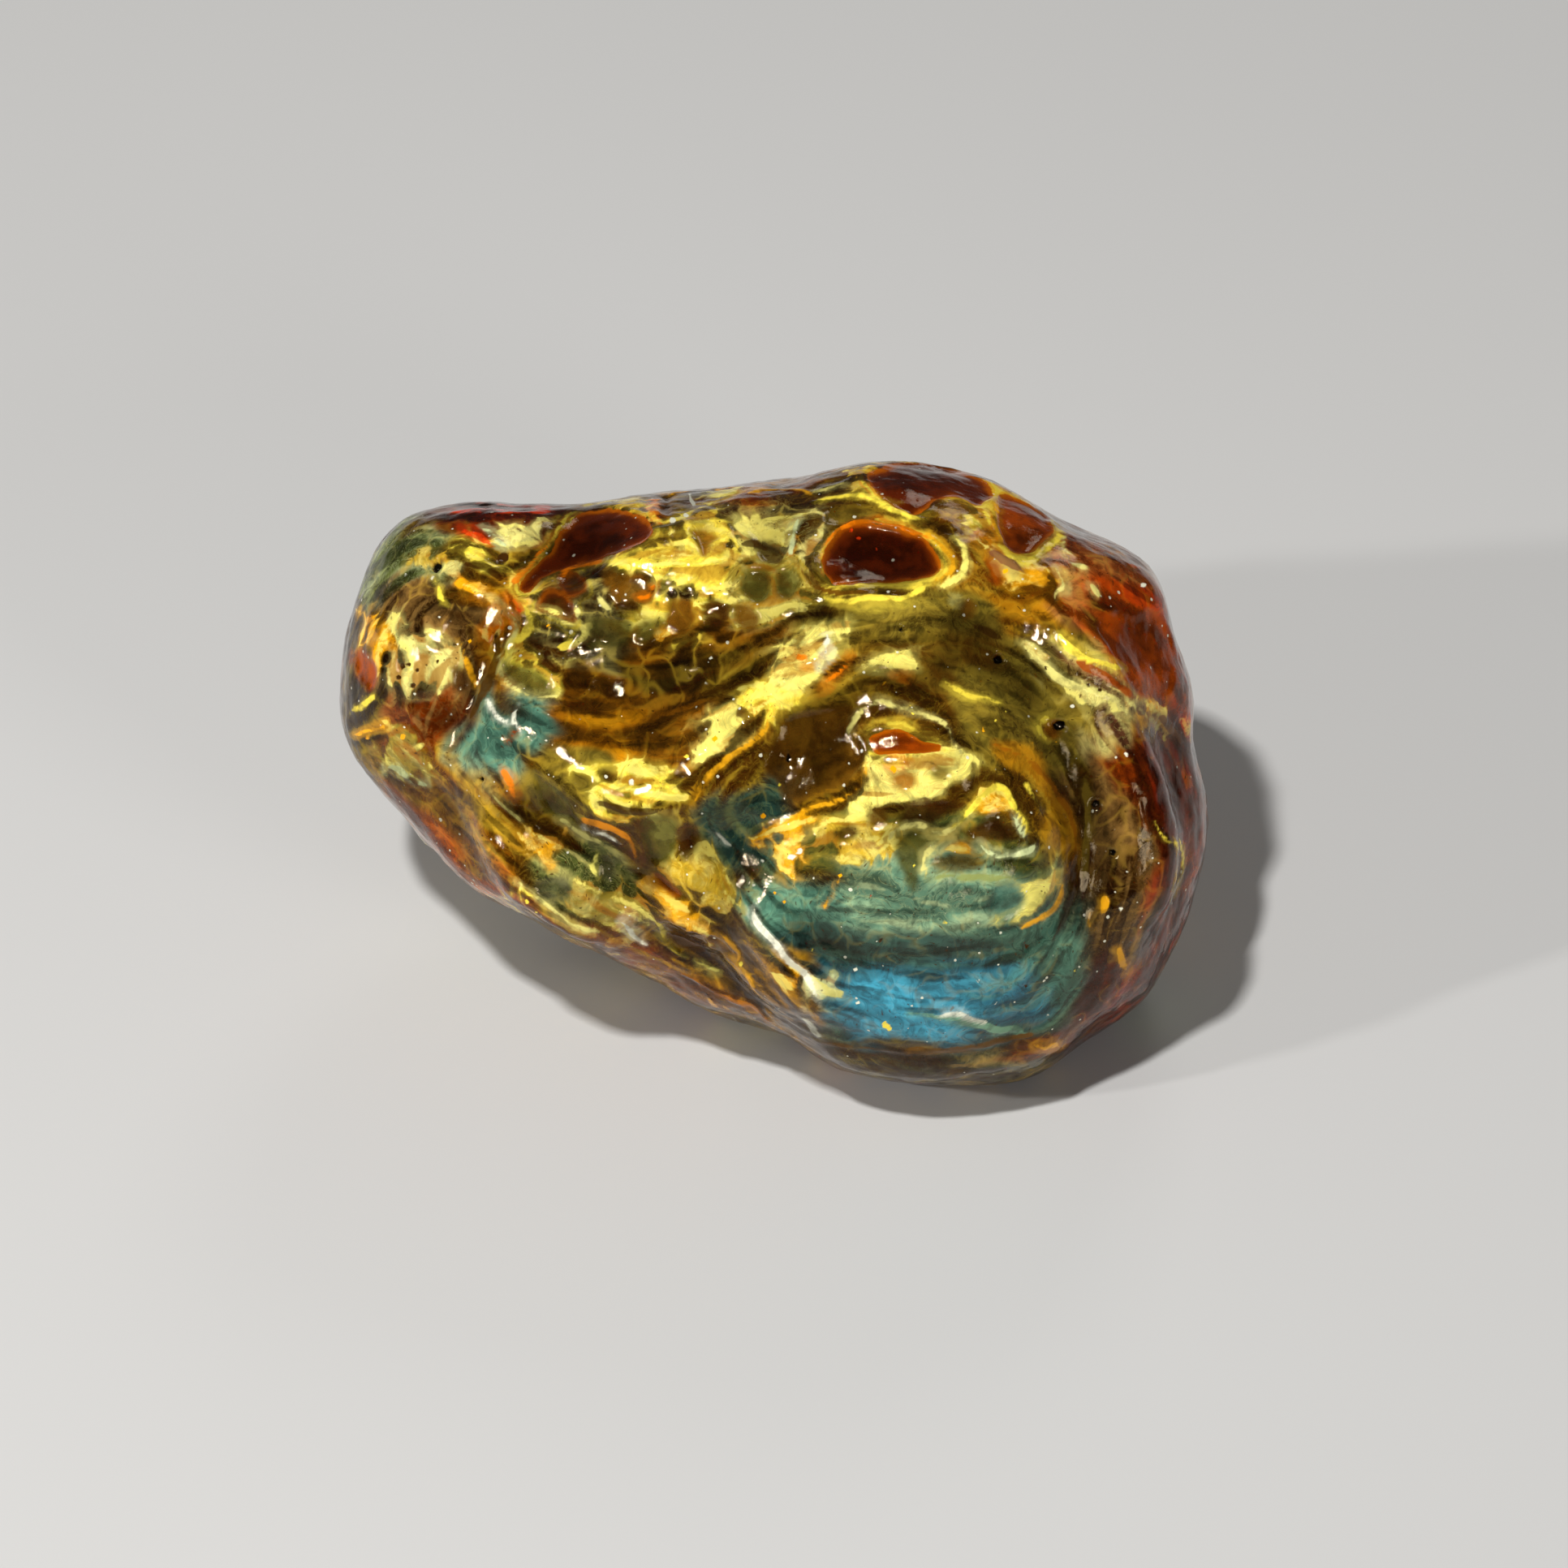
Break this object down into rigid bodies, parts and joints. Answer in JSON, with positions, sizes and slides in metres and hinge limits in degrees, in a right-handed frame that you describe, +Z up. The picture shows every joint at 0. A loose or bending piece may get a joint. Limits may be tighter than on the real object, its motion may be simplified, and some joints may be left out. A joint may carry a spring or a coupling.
{
  "type": "raw amber piece",
  "caption": "Palm-sized raw amber pebble, see-through and clouded, with swells, a seam, grooves and a worn flat to rest on.",
  "frame": {"origin": "under the middle of the piece's bounding box, on the plane of the worn flat that it rests on", "axes": "+Z up; +X along the length, from the narrow knob end to the broad domed end; the show face looks towards -Y and up"},
  "size_m": [0.062, 0.042, 0.0375],
  "materials": {
    "amber": "gloss"
  },
  "bodies": {
    "root": {"amber_piece": "amber"}
  },
  "joints": []
}
